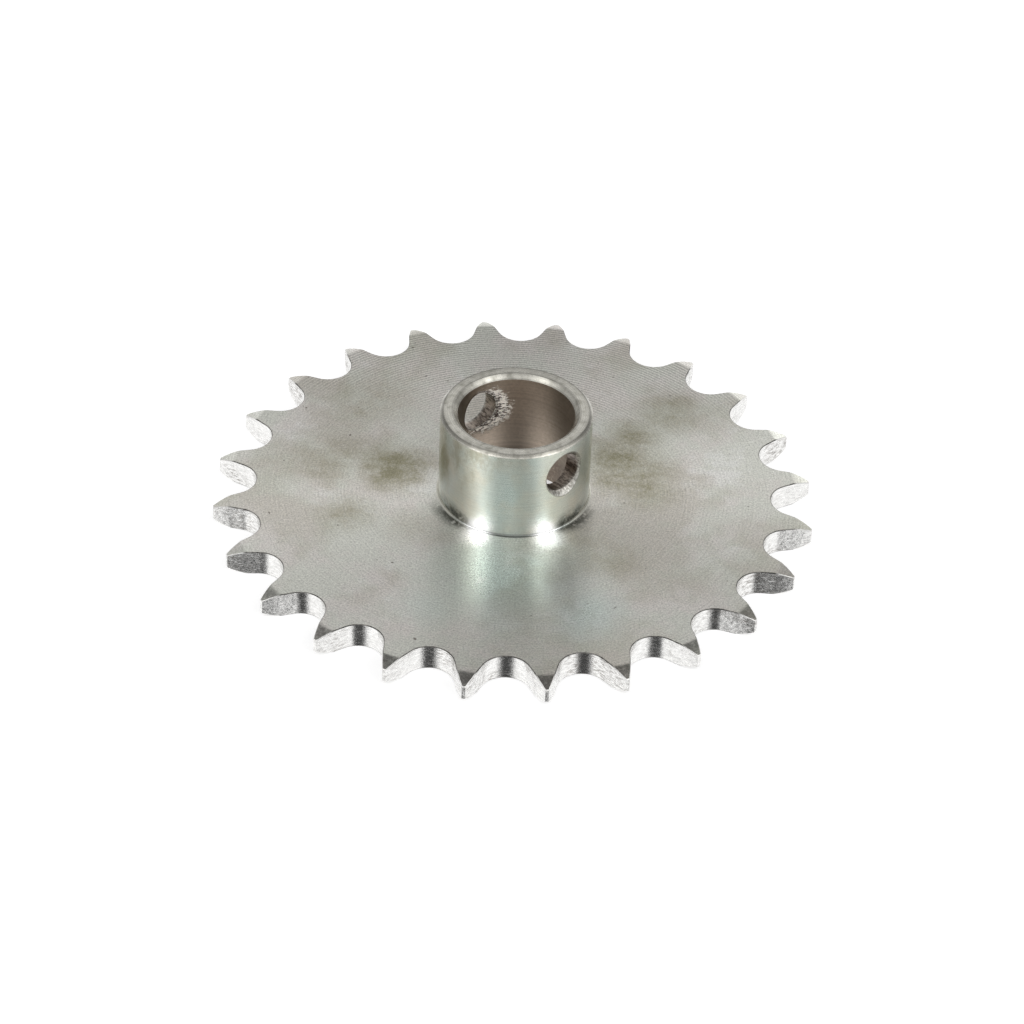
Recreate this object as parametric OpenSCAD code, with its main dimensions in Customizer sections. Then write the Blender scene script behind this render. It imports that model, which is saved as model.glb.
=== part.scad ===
// Roller-chain sprocket: a toothed plate with a bored hub on one side, cut from one piece of steel.
// A hole runs straight across the hub, for a pin or a bolt that ties the sprocket to its shaft.
// Millimetres. +Z runs along the bore towards the hub's end, and the origin is the bore's centre
// on the plate's flat back face. A gap between two teeth lies on +X.

/* [Chain] */
// Number of teeth
teeth = 24; // [18:1:36]
// Pitch of the chain, from one roller to the next
chain_pitch = 12.7; // [12.2:0.1:14]
// Diameter of the chain's rollers
roller_d = 8.5; // [8:0.1:8.8]

/* [Teeth] */
// Angle of the arc that a roller sits in
seat_angle = 126; // [120:1:132]
// Straight stretch between the roller's seat and the rounded flank
flank_straight = 1.9; // [1.2:0.1:2.2]
// Radius of a tooth's rounded flank
flank_r = 21.3; // [19:0.1:26]
// How far the tips stand out past the pitch circle
tip_rise = 3.1; // [2.4:0.1:3.2]

/* [Plate] */
// Thickness of the toothed plate
plate_t = 4.6; // [4:0.1:6.5]
// Thickness that the rounding leaves at the tips
tip_land = 2.55; // [1.6:0.05:3.4]
// How far in from the tips the rounding of both faces starts
tip_run_in = 3; // [2:0.1:5]
// Radius of that rounding, seen in section
tip_round_r = 12.7; // [6:0.1:30]

/* [Hub] */
// Diameter of the hub
hub_d = 26; // [25:0.5:40]
// Length through the bore, from the plate's back face to the hub's end
length_through_bore = 21.5; // [18:0.5:45]
// Radius of the fillet where the hub meets the plate
hub_fillet = 1; // [0.4:0.1:2]
// Chamfer round the hub's end
hub_chamfer = 0.5; // [0.2:0.1:0.6]

/* [Bore] */
// Diameter of the bore
bore_d = 20; // [12:0.5:22]
// Chamfer at both ends of the bore
bore_chamfer = 0.75; // [0.2:0.05:0.8]

/* [Cross hole] */
// Diameter of the hole across the hub
cross_d = 7; // [4:0.5:8]
// Diameter of the countersink at the hole's two outer ends
cross_sink_d = 8.7; // [8.2:0.1:9.2]
// Distance from the hub's end to the middle of the hole
cross_from_end = 5.8; // [5.2:0.1:7]
// Direction of the hole round the hub, from +X
cross_angle = -48.2; // [-60:0.1:60]

/* [Hidden] */

// How far each cutter runs past the surface that it cuts
past = 1;
// An arc laps this far over a line that it is tangent to, so that the two cross at a clear point
tangent_lap = 0.002;
round_fn = 96;

tooth_step = 360 / teeth;
pitch_r = chain_pitch / 2 / sin(tooth_step / 2);
tip_r = pitch_r + tip_rise;

// Each half of a gap is a seat arc, a straight stretch tangent to it, and the next tooth's rounded flank
seat_r = roller_d / 2;
seat_half = seat_angle / 2;
seat_out = [-cos(seat_half), sin(seat_half)];
seat_end = [pitch_r, 0] + seat_r * seat_out;
flank_start = seat_end + flank_straight * [sin(seat_half), cos(seat_half)];
flank_centre = flank_start + flank_r * seat_out;

// A gap's cutter reaches past the middle of the teeth beside it, where the flanks' circles cover them
mouth_half = 0.6 * tooth_step;
mouth_side = [cos(mouth_half), sin(mouth_half)];

// The rounding of a face runs from round_in, on the face, to round_out, on the tips
round_in = [tip_r - tip_run_in, plate_t];
round_out = [tip_r, (plate_t + tip_land) / 2];
round_chord = norm(round_out - round_in);
round_normal = [round_in[1] - round_out[1], round_out[0] - round_in[0]] / round_chord;
round_depth = sqrt(pow(tip_round_r, 2) - pow(round_chord / 2, 2));
round_centre = (round_in + round_out) / 2 - round_normal * round_depth;

hub_r = hub_d / 2;
bore_r = bore_d / 2;
cross_z = length_through_bore - cross_from_end;
cross_sink = (cross_sink_d - cross_d) / 2;

function across(point) = [point[0], -point[1]];

// Half-section of what is turned off the tips on the hub's side
module tip_rounding_section() {
    difference() {
        translate([round_centre[0], plate_t / 2]) {
            square([tip_r + past - round_centre[0], plate_t / 2 + past]);
        }
        translate(round_centre) circle(r = tip_round_r, $fn = 4 * round_fn);
    }
}

// Half-section of the plate, with both of its faces rounded towards the tips
module plate_section() {
    difference() {
        square([tip_r, plate_t]);
        tip_rounding_section();
        translate([0, plate_t]) mirror([0, 1]) tip_rounding_section();
    }
}

// Half-section of the hub and the fillet at its foot
module hub_section() {
    polygon([
        [0, 0],
        [hub_r, 0],
        [hub_r, length_through_bore - hub_chamfer],
        [hub_r - hub_chamfer, length_through_bore],
        [0, length_through_bore]
    ]);
    difference() {
        translate([hub_r - past, plate_t - past]) square(hub_fillet + past);
        translate([hub_r + hub_fillet, plate_t + hub_fillet]) circle(r = hub_fillet, $fn = round_fn);
    }
}

// Half-section of the bore, opened out by a chamfer at both ends
module bore_section() {
    flare = bore_chamfer + past;
    polygon([
        [0, -past],
        [bore_r + flare, -past],
        [bore_r, bore_chamfer],
        [bore_r, length_through_bore - bore_chamfer],
        [bore_r + flare, length_through_bore + past],
        [0, length_through_bore + past]
    ]);
}

// The body as it leaves the lathe
module turned_blank() {
    rotate_extrude($fn = 4 * round_fn) difference() {
        union() {
            plate_section();
            hub_section();
        }
        bore_section();
    }
}

// Outline of the gap between two teeth, on +X
module tooth_gap_outline() {
    translate([pitch_r, 0]) circle(r = seat_r + tangent_lap, $fn = round_fn);
    difference() {
        polygon([
            seat_end,
            flank_start,
            pitch_r * mouth_side,
            (tip_r + 2 * past) * mouth_side,
            (tip_r + 2 * past) * across(mouth_side),
            pitch_r * across(mouth_side),
            across(flank_start),
            across(seat_end)
        ]);
        for (side = [-1, 1]) {
            translate([flank_centre[0], side * flank_centre[1]]) {
                circle(r = flank_r + tangent_lap, $fn = 4 * round_fn);
            }
        }
    }
}

module tooth_gaps() {
    for (i = [0 : teeth - 1]) {
        rotate(i * tooth_step) translate([0, 0, -past]) {
            linear_extrude(plate_t + 2 * past) tooth_gap_outline();
        }
    }
}

// The drilled hole across the hub, countersunk where it comes out
module cross_hole() {
    translate([0, 0, cross_z]) rotate(cross_angle) {
        rotate([0, 90, 0]) cylinder(h = hub_d + 2 * past, d = cross_d, center = true, $fn = round_fn);
        for (side = [-1, 1]) {
            rotate([0, 90 * side, 0]) translate([0, 0, hub_r - cross_sink]) {
                cylinder(h = cross_sink + past, d1 = cross_d, d2 = cross_sink_d + 2 * past, $fn = round_fn);
            }
        }
    }
}

module sprocket() {
    color([0.66, 0.66, 0.63]) difference() {
        turned_blank();
        tooth_gaps();
        cross_hole();
    }
}

sprocket();
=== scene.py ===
import math

import bpy
from mathutils import Matrix


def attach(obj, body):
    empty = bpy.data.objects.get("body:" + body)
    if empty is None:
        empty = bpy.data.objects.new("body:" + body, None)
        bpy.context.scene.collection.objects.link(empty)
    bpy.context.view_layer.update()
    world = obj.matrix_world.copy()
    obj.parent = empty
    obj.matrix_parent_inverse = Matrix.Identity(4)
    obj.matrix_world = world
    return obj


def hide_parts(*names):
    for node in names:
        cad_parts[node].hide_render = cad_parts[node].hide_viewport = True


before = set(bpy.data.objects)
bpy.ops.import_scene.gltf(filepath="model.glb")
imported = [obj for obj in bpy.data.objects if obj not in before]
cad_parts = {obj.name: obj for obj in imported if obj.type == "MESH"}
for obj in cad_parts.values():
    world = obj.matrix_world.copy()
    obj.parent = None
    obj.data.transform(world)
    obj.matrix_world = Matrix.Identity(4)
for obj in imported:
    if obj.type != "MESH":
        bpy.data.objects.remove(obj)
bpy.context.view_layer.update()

# The sprocket is one piece of mild steel: a toothed plate and a bored hub, turned from bar, with the teeth
# hobbed round the rim, a hole drilled straight across the hub, and a thin bright zinc coat over it all.

# The sizes are the solid's own, apart from two. The fillet at the hub's foot is tighter here, as the
# photograph shows it, and the teeth have a broken edge, which the solid leaves sharp.
mm = 0.001
teeth = 24
chain_pitch = 12.7 * mm
roller_d = 8.5 * mm
seat_angle = math.radians(126)
flank_straight = 1.9 * mm
flank_r = 21.3 * mm
tip_rise = 3.1 * mm
plate_t = 4.6 * mm
tip_land = 2.55 * mm
tip_run_in = 3 * mm
tip_round_r = 12.7 * mm
hub_d = 26 * mm
hub_length = 21.5 * mm
hub_fillet = 0.4 * mm
hub_chamfer = 0.5 * mm
bore_d = 20 * mm
bore_chamfer = 0.75 * mm
cross_d = 7 * mm
cross_sink_d = 8.7 * mm
cross_z = 15.7 * mm
cross_angle = math.radians(-48.2)
edge_break = 0.13 * mm

# The circle of the tips, and the circle on which both faces start to round towards them
tip_circle = chain_pitch / 2 / math.sin(math.pi / teeth) + tip_rise
round_circle = tip_circle - tip_run_in


class Wire:
    """What comes out of a node. Arithmetic on it adds Math nodes to the same tree."""

    def __init__(self, socket):
        self.socket = socket

    def math(self, operation, *others):
        return Nodes(self.socket.id_data).math(operation, self, *others)

    def __add__(self, other):
        return self.math("ADD", other)

    def __radd__(self, other):
        return self.math("ADD", other)

    def __sub__(self, other):
        return self.math("SUBTRACT", other)

    def __rsub__(self, other):
        return Nodes(self.socket.id_data).math("SUBTRACT", other, self)

    def __mul__(self, other):
        return self.math("MULTIPLY", other)

    def __rmul__(self, other):
        return self.math("MULTIPLY", other)

    def __truediv__(self, other):
        return self.math("DIVIDE", other)

    def __rtruediv__(self, other):
        return Nodes(self.socket.id_data).math("DIVIDE", other, self)

    def __pow__(self, other):
        return self.math("POWER", other)

    def __neg__(self):
        return self.math("MULTIPLY", -1)

    def __abs__(self):
        return self.math("ABSOLUTE")

    def cos(self):
        return self.math("COSINE")

    def sin(self):
        return self.math("SINE")

    def sqrt(self):
        return self.math("SQRT")

    def exp(self):
        return self.math("EXPONENT")

    def least(self, other):
        return self.math("MINIMUM", other)

    def most(self, other):
        return self.math("MAXIMUM", other)

    def clamp(self):
        return self.least(1).most(0)


class Nodes:
    """Adds nodes to one tree."""

    def __init__(self, tree):
        self.tree = tree

    def add(self, kind, settings={}, inputs={}, output=0):
        """One node: its type, its settings, and the value or link of each socket, or a list of links."""
        node = self.tree.nodes.new(kind)
        for name, value in settings.items():
            setattr(node, name, value)
        for key, value in inputs.items():
            for one in value if isinstance(value, list) else [value]:
                if isinstance(one, Wire):
                    self.tree.links.new(one.socket, node.inputs[key])
                else:
                    node.inputs[key].default_value = one
        return Wire(node.outputs[output])

    def math(self, operation, *values):
        return self.add("ShaderNodeMath", {"operation": operation}, dict(enumerate(values)))

    def angle_of(self, x, y):
        return self.math("ARCTAN2", y, x)

    def vector(self, x, y, z):
        return self.add("ShaderNodeCombineXYZ", {}, {0: x, 1: y, 2: z})


def diagonal(a, b):
    return (a * a + b * b).sqrt()


class Finish:
    """One finish of the steel, on which x, y, z and radius are places in the part's own frame, in metres."""

    def __init__(self, name, anisotropic=0.0):
        """A quarter turn of the anisotropy draws the highlights out across the tool's rings."""
        self.material = bpy.data.materials.new(name)
        self.material.use_nodes = True
        self.nodes = Nodes(self.material.node_tree)
        self.shader = self.material.node_tree.nodes["Principled BSDF"]
        self.shader.inputs["Metallic"].default_value = 1
        self.shader.inputs["Anisotropic"].default_value = anisotropic
        self.shader.inputs["Anisotropic Rotation"].default_value = 0.25
        self.place = self.nodes.add("ShaderNodeTexCoord", output="Object")
        self.x, self.y, self.z = (
            self.nodes.add("ShaderNodeSeparateXYZ", {}, {0: self.place}, output=axis) for axis in "XYZ"
        )
        self.radius = diagonal(self.x, self.y)

    def noise(self, grain, detail=2.0, stretch=(1, 1, 1), roughness=0.5, axes=None):
        """Smooth noise from 0 to 1, with lumps of the size of grain in metres, drawn out by stretch."""
        axes = axes or (self.x, self.y, self.z)
        place = self.nodes.vector(*(axis / far for axis, far in zip(axes, stretch)))
        return self.nodes.add(
            "ShaderNodeTexNoise", {"noise_dimensions": "3D"},
            {"Vector": place, "Scale": 1 / grain, "Detail": detail, "Roughness": roughness},
        )

    def rings(self, pitch, along):
        """Noise that changes along one length alone, as the marks of a turning tool do."""
        return self.nodes.add(
            "ShaderNodeTexNoise", {"noise_dimensions": "1D"},
            {"W": along, "Scale": 1 / pitch, "Detail": 3.0, "Roughness": 0.6},
        )

    def ramp(self, value, low, high):
        """Rises smoothly from 0, where value is low, to 1, where it is high."""
        return self.nodes.add(
            "ShaderNodeMapRange", {"interpolation_type": "SMOOTHSTEP"},
            {"Value": value, "From Min": low, "From Max": high},
        )

    def hill(self, value, low, full, fading, high):
        """1 where value is from full to fading, and down to 0 at low and at high."""
        return self.ramp(value, low, full) * (1 - self.ramp(value, fading, high))

    def line(self, away, half_width):
        """1 where away is 0, and down to 0 at half_width on both sides of it."""
        return (1 - abs(away) / half_width).clamp()

    def spot(self, x, y, reach):
        """1 at a place of the plate, given in millimetres, and falling to 0 at reach millimetres from it."""
        return 1 - self.ramp(diagonal(self.x - x * mm, self.y - y * mm), 0.0, reach * mm)

    def places(self, spots):
        """How much some places of the plate are covered: each has x, y, reach and a strength."""
        cover = 0
        for x, y, reach, strength in spots:
            cover = (self.spot(x, y, reach) * strength).most(cover)
        return cover

    def from_cross_hole(self):
        """A place from the cross hole's middle: along its axis, aside from the axis, and above it."""
        along = self.x * math.cos(cross_angle) + self.y * math.sin(cross_angle)
        aside = self.x * math.sin(cross_angle) - self.y * math.cos(cross_angle)
        return along, aside, self.z - cross_z

    def blend(self, amount, below, above):
        """A colour between two others. A Mix node's colours are its inputs 6 and 7 and its output 2."""
        return self.nodes.add(
            "ShaderNodeMix", {"data_type": "RGBA"}, {0: amount, 6: below, 7: above}, output=2
        )

    def shade(self, colour, value):
        """A colour made darker or lighter by a number, or a vector made shorter or longer."""
        return self.nodes.add(
            "ShaderNodeVectorMath", {"operation": "SCALE"}, {0: colour, "Scale": value}
        )

    def bump(self, height, depth, normal=None):
        """Tilts the surface as a relief does whose height runs from 0 to 1 over depth metres."""
        inputs = {"Height": height, "Distance": depth, "Strength": 1.0}
        if normal is not None:
            inputs["Normal"] = normal
        return self.nodes.add("ShaderNodeBump", {}, inputs)

    def use(self, **inputs):
        """Links the shader's sockets and gives the finished material."""
        for name, value in inputs.items():
            self.material.node_tree.links.new(value.socket, self.shader.inputs[name.replace("_", " ")])
        return self.material


# Almost white, for painted highlights
highlight_white = (1.0, 1.0, 1.0, 1)


def turned_plate(name, stains, tints, rubs, painted_highlights, feed_from):
    """Faced on the lathe, in fine rings, then stained by handling in soft olive patches. The coarser marks of
    the tool's feed show from feed_from backwards."""
    green_zinc = (0.655, 0.66, 0.605, 1)
    warm_zinc = (0.69, 0.66, 0.625, 1)
    blue_zinc = (0.54, 0.62, 0.59, 1)
    rubbed_zinc = (0.84, 0.835, 0.83, 1)
    olive_stain = (0.38, 0.36, 0.255, 1)
    dark_speck = (0.13, 0.11, 0.09, 1)
    # The corner's dark colour is painted shade at the hub's foot
    corner_shade_colour = (0.11, 0.11, 0.095, 1)
    feed_pitch = 0.64 * mm
    finish = Finish(name, anisotropic=0.92)
    cloud = finish.noise(9 * mm, detail=5, roughness=0.6)
    grain = finish.noise(0.29 * mm, detail=2, roughness=0.7)
    speckle = finish.noise(0.8 * mm, detail=3, roughness=0.75)

    # Stains lie where they are listed, broken up by noise, and faintly elsewhere in large drifts
    patchy = finish.ramp(finish.noise(4.5 * mm, detail=5, roughness=0.75), 0.33, 0.66)
    drift = finish.ramp(finish.noise(17 * mm, detail=3, roughness=0.6), 0.46, 0.62)
    stain = finish.places(stains) * (0.55 + 0.5 * patchy)
    stain = (stain + 0.26 * drift) * (0.35 + 1.3 * speckle)
    tint = finish.places(tints)
    highlight_cover = finish.places(painted_highlights)
    specks = finish.ramp(finish.noise(1.05 * mm, detail=1), 0.77, 0.82)
    scuff = finish.noise(6 * mm, detail=6, roughness=0.75) + finish.places(rubs) * 0.22
    scuff = finish.ramp(scuff, 0.56, 0.72)

    # Painted shade lies round both sides of the hub's foot, in front of its middle
    corner_shade = 1 - finish.ramp(finish.radius, hub_d / 2 + 0.5 * mm, hub_d / 2 + 3.2 * mm)
    corner_shade = corner_shade * finish.hill(finish.y, -12.5 * mm, -10 * mm, -8 * mm, -3 * mm)
    corner_shade = corner_shade * finish.ramp(speckle, 0.3, 0.52)

    colour = finish.blend(finish.ramp(cloud, 0.38, 0.62), green_zinc, warm_zinc)
    colour = finish.blend(tint, colour, blue_zinc)
    colour = finish.blend(scuff * 0.4, colour, rubbed_zinc)
    colour = finish.blend(stain.clamp(), colour, olive_stain)
    colour = finish.blend(specks * 0.75, colour, dark_speck)
    colour = finish.blend(corner_shade * 0.95, colour, corner_shade_colour)
    # Painted highlights, almost white, in front of the hub's foot
    colour = finish.blend(highlight_cover, colour, highlight_white)

    # The tool's feed leaves even rings, and its worn edge finer and uneven ones
    wobble = finish.noise(14 * mm, detail=2) * (0.25 * mm)
    feed = ((finish.radius + wobble) * (2 * math.pi / feed_pitch)).sin() * 0.5 + 0.5
    backwards = finish.y - abs(finish.x) * 0.4 + finish.noise(18 * mm) * (24 * mm)
    feed_shows = 0.1 + 0.9 * finish.ramp(backwards, feed_from, feed_from + 18 * mm)
    rings = (feed - 0.5) * feed_shows * 1.3 + finish.rings(0.3 * mm, finish.radius + wobble)

    # The far half of the plate is a little darker, and so are the rounded tips of the front teeth, both as
    # painted shade
    far = finish.ramp(finish.y, 14 * mm, 44 * mm) * 0.12
    rounding = finish.ramp(finish.radius, round_circle, round_circle + 0.6 * mm)
    shaded_front_tips = rounding * finish.ramp(-finish.y, 18 * mm, 32 * mm) * finish.ramp(speckle, 0.2, 0.6) * 0.45
    colour = finish.shade(colour, (0.26 + grain * 1.3 + rings * 0.28 - far) * (1 - shaded_front_tips))
    normal = finish.bump(grain, 0.003 * mm, finish.bump(rings, 0.012 * mm))
    roughness = 0.32 + cloud * 0.08 + stain * 0.12 - rounding * 0.17 - tint * 0.13 - highlight_cover * 0.08
    return finish.use(Base_Color=colour, Roughness=roughness, Normal=normal)


def milled_teeth():
    """Cut by the hob, whose feed leaves marks level with the plate. The flanks are dented all over."""
    clean_cut = (0.84, 0.835, 0.82, 1)
    dirty_cut = (0.28, 0.26, 0.24, 1)
    finish = Finish("milled_teeth")
    marks = finish.noise(1.6 * mm, detail=5, stretch=(1, 1, 0.16), roughness=0.8)
    grain = finish.noise(0.45 * mm, detail=4, roughness=0.7)
    streaks = finish.noise(1.1 * mm, detail=6, stretch=(1, 1, 0.3), roughness=0.85)
    dirt = finish.ramp(streaks, 0.47, 0.6)
    worn = finish.ramp(finish.noise(8 * mm, detail=2), 0.42, 0.62)
    colour = finish.blend((dirt * (0.12 + 0.75 * worn)).clamp(), clean_cut, dirty_cut)
    colour = finish.shade(colour, 0.34 + grain * 0.5 + marks * 0.82)
    flank = finish.ramp(finish.radius, 45.4 * mm, 47.2 * mm)
    dents = finish.noise(1.3 * mm, detail=2, stretch=(1, 1, 0.6))
    rougher = 0.6 + 0.4 * flank
    normal = finish.bump(grain * rougher, 0.024 * mm)
    normal = finish.bump(marks * rougher, 0.06 * mm, normal)
    normal = finish.bump(dents * flank, 0.17 * mm, normal)
    return finish.use(Base_Color=colour, Roughness=0.11 + dirt * 0.2 + flank * 0.07, Normal=normal)


def broken_edges():
    """The thin line that a file left along both edges of the teeth, painted dark in the gaps as painted
    shade, with lighter worn patches, and bright over the tips as a painted highlight."""
    dark_edge = (0.07, 0.065, 0.06, 1)
    worn_edge = (0.34, 0.33, 0.31, 1)
    edge_highlight = (0.95, 0.94, 0.92, 1)
    finish = Finish("broken_edges")
    wear = finish.ramp(finish.noise(1.8 * mm, detail=5, roughness=0.75), 0.38, 0.62)
    tip_highlight = finish.ramp(finish.radius, round_circle, round_circle + 0.8 * mm)
    colour = finish.blend(wear, dark_edge, worn_edge)
    colour = finish.blend(tip_highlight * 0.85, colour, edge_highlight)
    return finish.use(Base_Color=colour, Roughness=0.35 + wear * 0.1)


def turned_hub():
    """Turned along its length, in rings that lie level, with a faint blue-green tint in the zinc."""
    green_zinc = (0.63, 0.675, 0.645, 1)
    warm_zinc = (0.69, 0.68, 0.61, 1)
    handling_stain = (0.45, 0.43, 0.34, 1)
    # The next four colours are painted shade at the hub's foot
    foot_shade = (0.12, 0.125, 0.11, 1)
    fillet_front = (0.22, 0.24, 0.225, 1)
    fillet_back = (0.54, 0.53, 0.47, 1)
    crease_shade = (0.10, 0.11, 0.10, 1)
    hole_rim = (0.16, 0.155, 0.13, 1)
    finish = Finish("turned_hub", anisotropic=0.55)
    cloud = finish.noise(6 * mm, detail=5, roughness=0.6)
    grain = finish.noise(0.34 * mm, detail=2, roughness=0.7)
    colour = finish.blend(finish.ramp(cloud, 0.4, 0.7), green_zinc, warm_zinc)

    # Handled most at the top and the left
    smears = finish.noise(2.6 * mm, detail=6, stretch=(1, 1, 2), roughness=0.75)
    handled = finish.ramp(finish.z - finish.x * 0.9 + smears * (16 * mm), 26 * mm, 36 * mm)
    handled = handled * finish.ramp(smears, 0.42, 0.6)
    colour = finish.blend(handled * 0.7, colour, handling_stain)

    # Painted shade at both sides of the foot, as on the plate, over the fillet, and in a dark line in the
    # corner in front
    foot = 1 - finish.ramp(finish.z, 5.2 * mm, 8 * mm)
    dark_patches = foot * finish.ramp(finish.noise(2.4 * mm, detail=6, roughness=0.8), 0.38, 0.56)
    dark_patches = dark_patches * finish.hill(finish.y, -12 * mm, -9.5 * mm, -7 * mm, -2 * mm)
    colour = finish.blend(dark_patches * 0.9, colour, foot_shade)
    # The fillet is painted darker, most in front, as painted shade
    in_fillet = 1 - finish.ramp(finish.z, 4.9 * mm, 5.1 * mm)
    colour = finish.blend(in_fillet * 0.55, colour, fillet_front)
    colour = finish.blend(in_fillet * finish.ramp(finish.y, -10 * mm, -7 * mm), colour, fillet_back)
    middle = 1 - finish.ramp(abs(finish.x), 2.5 * mm, 5.5 * mm)
    corner_shade = (1 - finish.ramp(finish.z, 4.72 * mm, 4.86 * mm)) * (0.2 + 0.6 * middle)
    colour = finish.blend(corner_shade, colour, crease_shade)

    # Two places low on the front are painted almost white, as painted highlights
    painted_highlights = finish.places([(-6.2, -12.2, 3.8, 1.0), (6.0, -12.2, 3.8, 1.0)])
    painted_highlights = painted_highlights * (1 - finish.ramp(finish.z, 5.0 * mm, 7.6 * mm))
    colour = finish.blend(painted_highlights, colour, highlight_white)

    # The cross hole has a dark rim, which runs where the countersink meets the hub
    along, aside, lift = finish.from_cross_hole()
    sink_r = abs(along) - (hub_d - cross_sink_d) / 2
    rim = finish.line(diagonal(aside, lift) - sink_r, 0.22 * mm)
    colour = finish.blend(rim * 0.75, colour, hole_rim)

    rings = finish.rings(0.32 * mm, finish.z)
    # The hub's sides are painted lighter, as painted light from the sides
    lit_sides = finish.ramp(abs(finish.x), 3 * mm, 7 * mm) * 0.32
    colour = finish.shade(colour, 0.74 + grain * 0.34 + rings * 0.34 + lit_sides)
    normal = finish.bump(grain, 0.006 * mm, finish.bump(rings, 0.012 * mm))
    return finish.use(Base_Color=colour, Roughness=0.2 + cloud * 0.08, Normal=normal)


def faced_hub_end():
    """The hub's end, faced last and handled since, darker in thin lines along the chamfers outside and inside
    it.
    """
    clean_end = (0.585, 0.57, 0.515, 1)
    grimy_end = (0.32, 0.31, 0.265, 1)
    chamfer_lines = (0.12, 0.115, 0.10, 1)
    finish = Finish("faced_hub_end", anisotropic=0.5)
    grain = finish.noise(0.4 * mm, detail=3, roughness=0.7)
    dark_patches = finish.ramp(finish.noise(1.6 * mm, detail=6, roughness=0.8), 0.45, 0.7)
    rings = finish.rings(0.3 * mm, finish.radius)
    outer = 1 - (abs(finish.radius - 12.58 * mm) / (0.3 * mm)) ** 4
    inner = finish.line(finish.radius - 10.9 * mm, 0.16 * mm)
    far = finish.ramp(finish.y, 3 * mm, 12 * mm) * 0.22
    colour = finish.blend(dark_patches, clean_end, grimy_end)
    colour = finish.blend((outer * 0.62).most(inner * 0.55), colour, chamfer_lines)
    colour = finish.shade(colour, 0.2 + grain * 0.8 + rings * 0.8 - far)
    normal = finish.bump(grain, 0.012 * mm, finish.bump(rings, 0.014 * mm))
    return finish.use(Base_Color=colour, Roughness=0.27 + dark_patches * 0.15, Normal=normal)


def bored():
    """The bore, brown from the oil left in it, with the drill's breakout torn bright round the cross hole."""
    brown_steel = (0.42, 0.35, 0.285, 1)
    tan_steel = (0.56, 0.475, 0.39, 1)
    # Dark, for painted shade on the bore's sides
    side_shade = (0.10, 0.09, 0.065, 1)
    deep_shadow = (0.09, 0.065, 0.05, 1)
    torn_crack = (0.10, 0.08, 0.07, 1)
    torn_flake = (1.0, 0.95, 0.87, 1)
    hole_rim = (0.06, 0.055, 0.05, 1)
    finish = Finish("bored")
    cloud = finish.noise(5 * mm, detail=4, roughness=0.6)
    grain = finish.noise(0.5 * mm, detail=4, roughness=0.7)
    colour = finish.blend(cloud, brown_steel, tan_steel)
    colour = finish.shade(colour, 0.5 + finish.rings(0.5 * mm, finish.z) * 0.4 + grain * 0.6)

    # The bore is painted darker on the left and the right, and towards its lower end, as painted shade
    shaded_sides = 1 - finish.ramp(finish.x, -9.6 * mm, -6.5 * mm)
    shaded_sides = shaded_sides.most(finish.ramp(finish.x, 4 * mm, 8.5 * mm) * 0.75)
    colour = finish.blend(shaded_sides * 0.7, colour, side_shade)
    low = (1 - finish.ramp(finish.z, 4.5 * mm, 8 * mm)) * finish.ramp(grain, 0.25, 0.55)
    colour = finish.blend(low * 0.75, colour, deep_shadow)

    # The torn patch lies to one side of the cross hole's far end and a little under it
    along, aside, lift = finish.from_cross_hole()
    beside = aside + 1.4 * mm
    near = 1 - finish.ramp(diagonal(beside, lift + 0.8 * mm), 2.4 * mm, 6.6 * mm)
    flakes = finish.noise(0.6 * mm, detail=4, stretch=(1.5, 1.5, 0.55), roughness=0.75)
    torn = finish.ramp(flakes * 0.9 + near * 0.5, 0.68, 0.76) * finish.ramp(-along, 0.0, 1 * mm)
    torn = torn * finish.ramp(-beside, -4.6 * mm, -3 * mm)
    lit = finish.ramp(flakes, 0.45, 0.52)
    colour = finish.blend(torn, colour, finish.blend(lit, torn_crack, torn_flake))
    rim = finish.line(diagonal(aside, lift) - 3.7 * mm, 0.25 * mm)
    colour = finish.blend(rim * 0.7, colour, hole_rim)

    # Its flakes stand out of the wall and lean upwards, to the light
    normal = finish.bump(flakes * torn, 0.5 * mm, finish.bump(grain, 0.02 * mm))
    lean = finish.shade((0, 0, 0.75), torn * lit)
    normal = finish.nodes.add("ShaderNodeVectorMath", {"operation": "ADD"}, {0: normal, 1: lean})
    normal = finish.nodes.add("ShaderNodeVectorMath", {"operation": "NORMALIZE"}, {0: normal})
    return finish.use(Base_Color=colour, Roughness=0.42 + cloud * 0.12 - torn * 0.16, Normal=normal)


def drilled():
    """The cross hole's wall and countersinks, rough from the drill, and browner inside the hub."""
    bright_steel = (0.72, 0.71, 0.66, 1)
    dull_steel = (0.33, 0.28, 0.235, 1)
    bright_groove = (0.30, 0.29, 0.26, 1)
    dull_groove = (0.11, 0.09, 0.075, 1)
    finish = Finish("drilled")
    along, aside = finish.from_cross_hole()[:2]
    axes = (along, -aside, finish.z)
    marks = finish.noise(0.45 * mm, detail=5, stretch=(3, 1, 1), roughness=0.8, axes=axes)
    deep = 1 - finish.ramp(abs(along), 11.4 * mm, 12.8 * mm)
    steel = finish.blend(deep, bright_steel, dull_steel)
    groove = finish.blend(deep, bright_groove, dull_groove)
    colour = finish.blend(finish.ramp(marks, 0.42, 0.58), steel, groove)
    return finish.use(Base_Color=colour, Roughness=0.28 + marks * 0.2, Normal=finish.bump(marks, 0.07 * mm))


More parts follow.
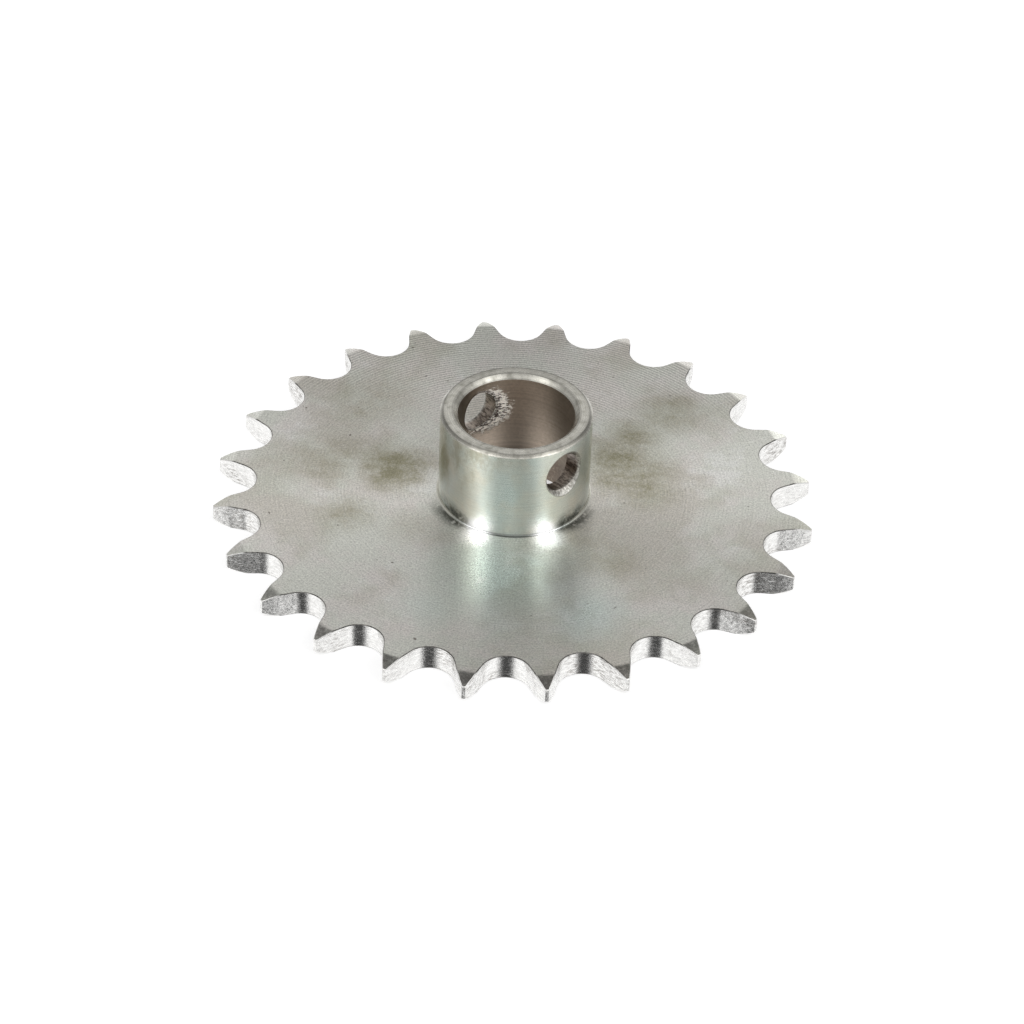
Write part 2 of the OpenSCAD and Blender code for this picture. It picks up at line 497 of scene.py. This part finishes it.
# Handling stains on both faces: x, y and reach in millimetres, and how strong each one is
front_stains = [
    (-21, 4.5, 10.5, 1.15), (-28, -8, 8, 0.65), (-31, 6, 13, 0.4), (27, 24, 10, 0.7),
    (19, 8, 13, 0.9), (23, 1, 8, 0.6), (21, 17, 8, 0.8), (-25, 25, 13, 0.45),
    (17, -19, 8, 0.35), (-17, -11, 8, 0.35), (13, -14, 7, 0.25), (-40, 9, 8, 0.2),
]
back_stains = [(20, 12, 11, 0.7), (-26, 18, 9, 0.55), (-6, -30, 10, 0.5), (33, -16, 8, 0.4)]
# Where the zinc looks bluer
front_tints = [(0, -24, 21, 0.85), (12.5, -33, 11, 0.75), (-13, -32, 9, 0.4)]
back_tints = [(-14, 20, 15, 0.6)]
# Where it is rubbed brighter
front_rubs = [
    (-29, -3.5, 9, 0.5), (-15.5, 1.5, 6, 1.3), (33, 6, 13, 0.8), (16.5, 1, 4, 0.9), (-38, 12, 8, 0.5),
]
back_rubs = [(30, 8, 12, 0.8), (-20, -24, 11, 0.8), (-32, 6, 7, 0.6)]
# Where it is painted almost white, in front of the hub's foot, as painted highlights
front_highlights = [(-6.4, -13.2, 4.2, 1.0), (6.2, -13.2, 4.2, 1.0)]
# The feed's rings show on the back half of the front face and all over the back face
front_feed_from = 20 * mm
back_feed_from = -80 * mm

# Each surface has a number, which the form writes on its faces, and a finish
plate_front, plate_back, tooth_side, tooth_rim, hub_side, hub_end, bore_side, hole_side = range(8)
finishes = {
    plate_front: turned_plate(
        "turned_front", front_stains, front_tints, front_rubs, front_highlights, front_feed_from
    ),
    plate_back: turned_plate("turned_back", back_stains, back_tints, back_rubs, [], back_feed_from),
    tooth_side: milled_teeth(),
    tooth_rim: broken_edges(),
    hub_side: turned_hub(),
    hub_end: faced_hub_end(),
    bore_side: bored(),
    hole_side: drilled(),
}

# The form is one closed net of points. Its columns follow the teeth round the rim, and its rows go round the
# section: out along the back face, up the teeth, in along the front face, up the hub and down the bore.
seat_columns = 8
flank_columns = 8
tip_columns = 3
half_columns = seat_columns + 1 + flank_columns + tip_columns
gap_columns = 2 * half_columns
plain_rows = 9
round_rows = 6
edge_rows = 2
fillet_rows = 12
hub_rows = 8
# Points nearer than weld become one, and an edge stays sharp where the surface turns by more than sharp_angle
weld = 0.001 * mm
sharp_angle = math.radians(10)
# The cross hole's cutters have hole_sides sides, and run on past the hub's wall
hole_sides = 128
past = 1 * mm

form_tree = bpy.data.node_groups.new("sprocket_form", "GeometryNodeTree")
form_tree.interface.new_socket("Mesh", in_out="OUTPUT", socket_type="NodeSocketGeometry")
form_sizes = {
    "Teeth": teeth,
    "Chain pitch": chain_pitch,
    "Roller radius": roller_d / 2,
    "Half seat angle": seat_angle / 2,
    "Flank straight": flank_straight,
    "Flank radius": flank_r,
    "Tip rise": tip_rise,
    "Plate thickness": plate_t,
    "Tip land": tip_land,
    "Tip run in": tip_run_in,
    "Tip rounding": tip_round_r,
    "Edge break": edge_break,
    "Hub radius": hub_d / 2,
    "Hub length": hub_length,
    "Hub fillet": hub_fillet,
    "Hub chamfer": hub_chamfer,
    "Bore radius": bore_d / 2,
    "Bore chamfer": bore_chamfer,
    "Cross hole radius": cross_d / 2,
    "Cross hole sink": (cross_sink_d - cross_d) / 2,
    "Cross hole height": cross_z,
    "Cross hole angle": cross_angle,
}
form_sockets = {
    name: form_tree.interface.new_socket(name, in_out="INPUT", socket_type="NodeSocketFloat")
    for name in form_sizes
}
form = Nodes(form_tree)
form_input = form_tree.nodes.new("NodeGroupInput")
size = {name: Wire(form_input.outputs[name]) for name in form_sizes}

tooth_step = 2 * math.pi / size["Teeth"]
pitch_r = size["Chain pitch"] / 2 / (tooth_step / 2).sin()
tip_r = pitch_r + size["Tip rise"]
seat_r = size["Roller radius"]
seat_half = size["Half seat angle"]
seat_cos = seat_half.cos()
seat_sin = seat_half.sin()

# A flank's arc turns about flank_x, flank_y, from the end of the straight stretch to the circle of the tips
arc_r = size["Flank radius"]
flank_x = pitch_r - (seat_r + arc_r) * seat_cos + size["Flank straight"] * seat_sin
flank_y = (seat_r + arc_r) * seat_sin + size["Flank straight"] * seat_cos
flank_reach = diagonal(flank_x, flank_y)
flank_lean = (tip_r * tip_r - flank_reach * flank_reach - arc_r * arc_r) / 2 / arc_r / flank_reach
flank_turn = form.angle_of(flank_x, flank_y) - flank_lean.math("ARCCOSINE") + seat_half
corner_angle = form.angle_of(
    flank_x + arc_r * (flank_turn - seat_half).cos(),
    flank_y + arc_r * (flank_turn - seat_half).sin(),
)

# The rounding of both faces towards the tips is an arc about round_x, round_z, seen in section
round_r = size["Tip rounding"]
round_run = size["Tip run in"]
round_drop = (size["Plate thickness"] - size["Tip land"]) / 2
round_chord = diagonal(round_run, round_drop)
round_depth = (round_r * round_r - round_chord * round_chord / 4).sqrt()
round_x = tip_r - round_run / 2 - round_depth * round_drop / round_chord
round_z = size["Plate thickness"] - round_drop / 2 - round_depth * round_run / round_chord


def front_height(radius):
    """Height of the plate's front face at a radius."""
    run = radius.most(round_x) - round_x
    rounded = round_z + (round_r * round_r - run * run).most(0).sqrt()
    return rounded.least(size["Plate thickness"])


def outline(across):
    """A point of a gap's outline, for a gap on +X, and the step from it that insets the outline by 1.
    across counts columns from the gap's middle: first the seat's, then one for the straight stretch,
    the flank's and the tip's."""
    side = across.math("SIGN")
    place = abs(across)
    seat_turn = seat_half * (place / seat_columns).clamp()
    straight = size["Flank straight"] * (place - seat_columns).clamp()
    turn = seat_half - flank_turn * ((place - seat_columns - 1) / flank_columns).clamp()
    past_corner = place - (seat_columns + 1 + flank_columns)
    tip_turn = corner_angle + (tooth_step / 2 - corner_angle) * (past_corner / tip_columns).clamp()
    x = (
        pitch_r - seat_r * seat_turn.cos() + straight * seat_sin
        + arc_r * (turn.cos() - seat_cos)
        + tip_r * (tip_turn.cos() - corner_angle.cos())
    )
    y = (
        seat_r * seat_turn.sin() + straight * seat_cos
        + arc_r * (seat_sin - turn.sin())
        + tip_r * (tip_turn.sin() - corner_angle.sin())
    )
    # The inset's direction is the outline's normal, and halfway between flank and tip at their corner
    on_tip = (past_corner / 2 + 0.5).clamp()
    bend = seat_turn.least(turn)
    in_x = -on_tip * tip_turn.cos() - (1 - on_tip) * bend.cos()
    in_y = (1 - on_tip) * bend.sin() - on_tip * tip_turn.sin()
    mitre = in_x * in_x + in_y * in_y
    return x, side * y, in_x / mitre, side * in_y / mitre


def inset_outline(across, inset):
    """A point of the outline, moved in by inset, and its distance from the middle."""
    x, y, in_x, in_y = outline(across)
    x = x + in_x * inset
    y = y + in_y * inset
    return x, y, diagonal(x, y)


def polar(radius, angle, z):
    return radius * angle.cos(), radius * angle.sin(), z


def hub_angle(across):
    """The angle of a column on the hub, where all columns are evenly spaced."""
    return across / gap_columns * tooth_step


def tooth_wall(across, along):
    """The cut side of the teeth, between their two broken edges."""
    x, y, radius = inset_outline(across, 0)
    top = front_height(radius) - size["Edge break"]
    bottom = size["Plate thickness"] - top
    return x, y, bottom + (top - bottom) * along


def tooth_edge(across, along):
    """The small round that a file leaves along a tooth's edge."""
    swing = along * (math.pi / 2)
    x, y, radius = inset_outline(across, size["Edge break"] * (1 - swing.cos()))
    return x, y, front_height(radius) - size["Edge break"] * (1 - swing.sin())


def face(inner_r):
    """A face of the plate, from the teeth in to a circle. Its rows lie on circles up to the start of the
    rounding and over it, and each stops where it meets the teeth's edge."""
    def place(across, along):
        x, y, rim_r = inset_outline(across, size["Edge break"])
        row = (1 - along) * (plain_rows + round_rows)
        plain = (tip_r - round_run - inner_r) * (row / plain_rows).clamp()
        rounded = round_run * ((row - plain_rows) / round_rows).clamp()
        radius = (inner_r + plain + rounded).least(rim_r)
        lean = (radius - inner_r) / (rim_r - inner_r)
        angle = hub_angle(across) + (form.angle_of(x, y) - hub_angle(across)) * lean
        return polar(radius, angle, front_height(radius))
    return place


def on_back(place):
    """The same band on the other side of the plate."""
    def mirrored(across, along):
        x, y, z = place(across, 1 - along)
        return x, y, size["Plate thickness"] - z
    return mirrored


def fillet(across, along):
    """The hollow round in the corner between the hub and the plate."""
    swing = along * (math.pi / 2)
    radius = size["Hub radius"] + size["Hub fillet"] * (1 - swing.sin())
    z = size["Plate thickness"] + size["Hub fillet"] * (1 - swing.cos())
    return polar(radius, hub_angle(across), z)


def turned(start_r, start_z, end_r, end_z):
    """A cone, cylinder or flat ring between two places of the section."""
    def place(across, along):
        radius = start_r + (end_r - start_r) * along
        return polar(radius, hub_angle(across), start_z + (end_z - start_z) * along)
    return place


def mark(mesh, surface):
    """Writes on every face which of the sprocket's surfaces it belongs to."""
    return form.add(
        "GeometryNodeStoreNamedAttribute",
        {"data_type": "INT", "domain": "FACE"},
        {"Geometry": mesh, "Name": "surface", "Value": surface},
    )


def band(surface, rows, place):
    """One band of the net, right round the sprocket. place gives a point's x, y and z, for a gap on +X,
    from its column, counted from the gap's middle, and its place along the rows, from 0 to 1."""
    points = {"Vertices X": gap_columns * teeth + 1, "Vertices Y": rows + 1}
    grid = form.add("GeometryNodeMeshGrid", {}, points)
    index = form.add("GeometryNodeInputIndex")
    column = ((index + 0.5) / (rows + 1)).math("FLOOR")
    gap = (column / gap_columns).math("FLOOR")
    across = column - gap * gap_columns - half_columns
    x, y, z = place(across, (index - column * (rows + 1)) / rows)
    cos = (gap * tooth_step).cos()
    sin = (gap * tooth_step).sin()
    position = form.vector(x * cos - y * sin, x * sin + y * cos, z)
    return mark(form.add("GeometryNodeSetPosition", {}, {"Geometry": grid, "Position": position}), surface)


face_rows = plain_rows + round_rows
hub_r = size["Hub radius"]
hub_top = size["Hub length"]
fillet_top = size["Plate thickness"] + size["Hub fillet"]
shoulder_r = hub_r - size["Hub chamfer"]
shoulder_z = hub_top - size["Hub chamfer"]
bore_r = size["Bore radius"]
flare = size["Bore chamfer"]
flare_r = bore_r + flare
flare_z = hub_top - flare
bands = [
    band(plate_back, face_rows, on_back(face(flare_r))),
    band(tooth_rim, edge_rows, on_back(tooth_edge)),
    band(tooth_side, edge_rows, tooth_wall),
    band(tooth_rim, edge_rows, tooth_edge),
    band(plate_front, face_rows, face(hub_r + size["Hub fillet"])),
    band(hub_side, fillet_rows, fillet),
    band(hub_side, hub_rows, turned(hub_r, fillet_top, hub_r, shoulder_z)),
    band(hub_end, 1, turned(hub_r, shoulder_z, shoulder_r, hub_top)),
    band(hub_end, 1, turned(shoulder_r, hub_top, flare_r, hub_top)),
    band(hub_end, 1, turned(flare_r, hub_top, bore_r, flare_z)),
    band(bore_side, hub_rows, turned(bore_r, flare_z, bore_r, flare)),
    band(bore_side, 1, turned(bore_r, flare, flare_r, 0)),
]
blank = form.add("GeometryNodeJoinGeometry", {}, {"Geometry": bands})
blank = form.add("GeometryNodeMergeByDistance", {}, {"Geometry": blank, "Distance": weld})

# The cross hole's drill stands on +Z before it is laid across the hub, with a countersink at both ends
drill = form.add(
    "GeometryNodeMeshCylinder", {},
    {"Vertices": hole_sides, "Radius": size["Cross hole radius"], "Depth": 2 * (hub_r + past)},
)
sink_depth = size["Cross hole sink"] + past
sink = form.add(
    "GeometryNodeMeshCone", {},
    {
        "Vertices": hole_sides,
        "Radius Top": size["Cross hole radius"] + sink_depth,
        "Radius Bottom": size["Cross hole radius"] - past,
        "Depth": sink_depth + past,
    },
)
sink = form.add(
    "GeometryNodeTransform", {},
    {"Geometry": sink, "Translation": form.vector(0, 0, hub_r - size["Cross hole sink"] - past)},
)
sinks = form.add(
    "GeometryNodeInstanceOnPoints", {},
    {
        "Points": form.add("GeometryNodePoints", {}, {"Count": 2}),
        "Instance": sink,
        "Rotation": form.vector(form.add("GeometryNodeInputIndex") * math.pi, 0, 0),
    },
)
cutter_place = {
    "Translation": form.vector(0, 0, size["Cross hole height"]),
    "Rotation": form.vector(0, math.pi / 2, size["Cross hole angle"]),
}
cutters = [
    mark(form.add("GeometryNodeTransform", {}, {"Geometry": cutter, **cutter_place}), hole_side)
    for cutter in (drill, form.add("GeometryNodeRealizeInstances", {}, {"Geometry": sinks}))
]
made = form.add(
    "GeometryNodeMeshBoolean",
    {"operation": "DIFFERENCE", "solver": "MANIFOLD"},
    {"Mesh 1": blank, "Mesh 2": cutters},
)
made = form.add("GeometryNodeMergeByDistance", {}, {"Geometry": made, "Distance": weld})
made = form.add("GeometryNodeSetShadeSmooth", {"domain": "FACE"}, {"Geometry": made})
sharp = form.add("GeometryNodeInputMeshEdgeAngle").math("GREATER_THAN", sharp_angle)
made = form.add(
    "GeometryNodeSetShadeSmooth", {"domain": "EDGE"},
    {"Geometry": made, "Selection": sharp, "Shade Smooth": False},
)
made = form.add("GeometryNodeRealizeInstances", {}, {"Geometry": made})

# Every face gets its finish by the number written on it. A Compare node's inputs 2 and 3 are whole numbers.
written = form.add("GeometryNodeInputNamedAttribute", {"data_type": "INT"}, {"Name": "surface"})
for surface, material in finishes.items():
    chosen = form.add(
        "FunctionNodeCompare", {"data_type": "INT", "operation": "EQUAL"}, {2: written, 3: surface}
    )
    made = form.add(
        "GeometryNodeSetMaterial", {}, {"Geometry": made, "Selection": chosen, "Material": material}
    )
form_output = form_tree.nodes.new("NodeGroupOutput")
form_tree.links.new(made.socket, form_output.inputs["Mesh"])

# The tree's result becomes a plain mesh. Its first material slot is empty, and no face uses it.
maker = bpy.data.objects.new("sprocket_maker", bpy.data.meshes.new("sprocket_maker"))
bpy.context.scene.collection.objects.link(maker)
modifier = maker.modifiers.new("form", "NODES")
modifier.node_group = form_tree
for name, value in form_sizes.items():
    modifier[form_sockets[name].identifier] = float(value)
shape = bpy.data.meshes.new_from_object(maker.evaluated_get(bpy.context.evaluated_depsgraph_get()))
shape.materials.pop(index=0)
bpy.data.objects.remove(maker)
steel = bpy.data.objects.new("steel_sprocket", shape)
bpy.context.scene.collection.objects.link(steel)
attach(steel, "root")
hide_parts("sprocket")

# The floor is a plain white sheet of paper, which takes the sprocket's soft shadow. To the camera it glows
# a little, so that it comes out white beyond the shadow. The metal sees the studio's lower half instead.
floor_half = 3.0
paper_colour = (0.6, 0.6, 0.6, 1)
paper_glow = 0.62
floor_mesh = bpy.data.meshes.new("floor")
floor_mesh.from_pydata(
    [(x * floor_half, y * floor_half, 0) for x, y in ((-1, -1), (1, -1), (1, 1), (-1, 1))], [], [(0, 1, 2, 3)]
)
floor = bpy.data.objects.new("floor", floor_mesh)
bpy.context.scene.collection.objects.link(floor)
floor.visible_glossy = False
paper = bpy.data.materials.new("white_paper")
paper.use_nodes = True
paper.node_tree.nodes.clear()
sheet = Nodes(paper.node_tree)
seen = sheet.add("ShaderNodeLightPath", output="Is Camera Ray")
paper_shader = sheet.add(
    "ShaderNodeAddShader", {},
    {
        0: sheet.add("ShaderNodeBsdfDiffuse", {}, {"Color": paper_colour}),
        1: sheet.add("ShaderNodeEmission", {}, {"Color": (1, 1, 1, 1), "Strength": seen * paper_glow}),
    },
)
paper_output = paper.node_tree.nodes.new("ShaderNodeOutputMaterial")
paper.node_tree.links.new(paper_shader.socket, paper_output.inputs["Surface"])
floor_mesh.materials.append(paper)

# The studio round the sprocket is a world that only reflections and soft light see: soft boxes, each a
# direction and how sharply its light falls off round it, over a pale ground with a dark flag in front.
# The camera sees plain white.
world = bpy.data.worlds.new("studio")
bpy.context.scene.world = world
world.use_nodes = True
world.node_tree.nodes.clear()
studio = Nodes(world.node_tree)
towards = studio.add("ShaderNodeTexCoord", output="Generated")
up = studio.add("ShaderNodeSeparateXYZ", {}, {0: towards}, output="Z")


def facing(x, y, z):
    """The cosine of the angle between what a ray sees and a direction."""
    return studio.add(
        "ShaderNodeVectorMath", {"operation": "DOT_PRODUCT"}, {0: towards, 1: (x, y, z)}, output="Value"
    )


def lobe(azimuth, elevation, sharpness):
    """Light from one direction. Azimuth 0 is where the camera stands, and it turns towards the right."""
    azimuth = math.radians(azimuth)
    elevation = math.radians(elevation)
    level = math.cos(elevation)
    along = facing(math.sin(azimuth) * level, -math.cos(azimuth) * level, math.sin(elevation))
    return ((along - 1) * sharpness).exp()


def strip(azimuth, sharpness, low, high):
    """Light from an upright strip between two heights, each the sine of its elevation. Its ends are soft."""
    fade = 6
    azimuth = math.radians(azimuth)
    aside = facing(math.cos(azimuth), math.sin(azimuth), 0)
    in_front = (facing(math.sin(azimuth), -math.cos(azimuth), 0) * fade).clamp()
    height = ((up - low) * fade).clamp() * ((high - up) * fade).clamp()
    return (aside * aside * -sharpness).exp() * in_front * height


# The two strips and the four lobes after them light the hub's front and the plate before it. The lobes at
# 180, -150 and 155 degrees stand behind, for the plate, and those at -105 and 100 degrees at the sides.
sky = (
    0.1
    + 0.8 * lobe(180, 0, 12)
    + 0.5 * lobe(180, 40, 20)
    + 0.6 * lobe(-150, 22, 14)
    + 1.2 * lobe(155, 16, 22)
    + 0.7 * lobe(0, 36, 6)
    + 1.45 * strip(-55, 8, 0.3, 0.9)
    + 1.8 * strip(61, 8, 0.3, 0.9)
    + 1.5 * lobe(-50, 42, 70)
    + 1.5 * lobe(50, 42, 70)
    + 1.1 * lobe(-50, 62, 60)
    + 0.9 * lobe(48, 62, 60)
    + 0.45 * lobe(-105, 34, 9)
    + 0.6 * lobe(100, 34, 9)
    + 0.7 * lobe(0, 54, 90)
)
# The flag lies in front and below, where the roots of the front teeth's gaps mirror it as a dark stripe.
# It fades out where the cosine of the angle from its middle falls to flag_edge.
flag_drop = math.radians(38)
flag_edge = 0.87
front_flag = ((facing(0, -math.cos(flag_drop), -math.sin(flag_drop)) - flag_edge) * 20).clamp()
ground = 1.15 - 1.08 * front_flag
# The ground takes over from the sky within a few degrees of the level
below = (up * -8 + 0.5).clamp()
light = sky * (1 - below) + ground * below
studio_light = studio.add("ShaderNodeBackground", {}, {"Color": (1, 1, 1, 1), "Strength": light})
white = studio.add("ShaderNodeBackground", {}, {"Color": (1, 1, 1, 1), "Strength": 1.0})
shown = studio.add(
    "ShaderNodeMixShader", {},
    {0: studio.add("ShaderNodeLightPath", output="Is Camera Ray"), 1: studio_light, 2: white},
)
world_output = world.node_tree.nodes.new("ShaderNodeOutputWorld")
world.node_tree.links.new(shown.socket, world_output.inputs["Surface"])

# The camera stands in front and looks down on the bore's foot, rolled a little to one side. Its place and
# its lens, in pixels of the photograph's frame, were fitted to the photograph.
camera_distance = 613.07 * mm
camera_elevation = math.radians(38.05)
camera_azimuth = math.radians(0.1)
camera_roll = math.radians(2.2)
focal_pixels = 3538.4
frame_pixels = 1024
shift_pixels = (-0.834, -1.697)
sensor_width = 36.0

camera_data = bpy.data.cameras.new("camera")
camera_data.sensor_width = sensor_width
camera_data.lens = focal_pixels / frame_pixels * sensor_width
camera_data.shift_x = shift_pixels[0] / frame_pixels
camera_data.shift_y = shift_pixels[1] / frame_pixels
camera = bpy.data.objects.new("camera", camera_data)
bpy.context.scene.collection.objects.link(camera)
camera.matrix_world = (
    Matrix.Rotation(camera_azimuth, 4, "Z")
    @ Matrix.Rotation(math.pi / 2 - camera_elevation, 4, "X")
    @ Matrix.Translation((0, 0, camera_distance))
    @ Matrix.Rotation(camera_roll, 4, "Z")
)
bpy.context.scene.camera = camera
bpy.context.scene.view_settings.view_transform = "Standard"
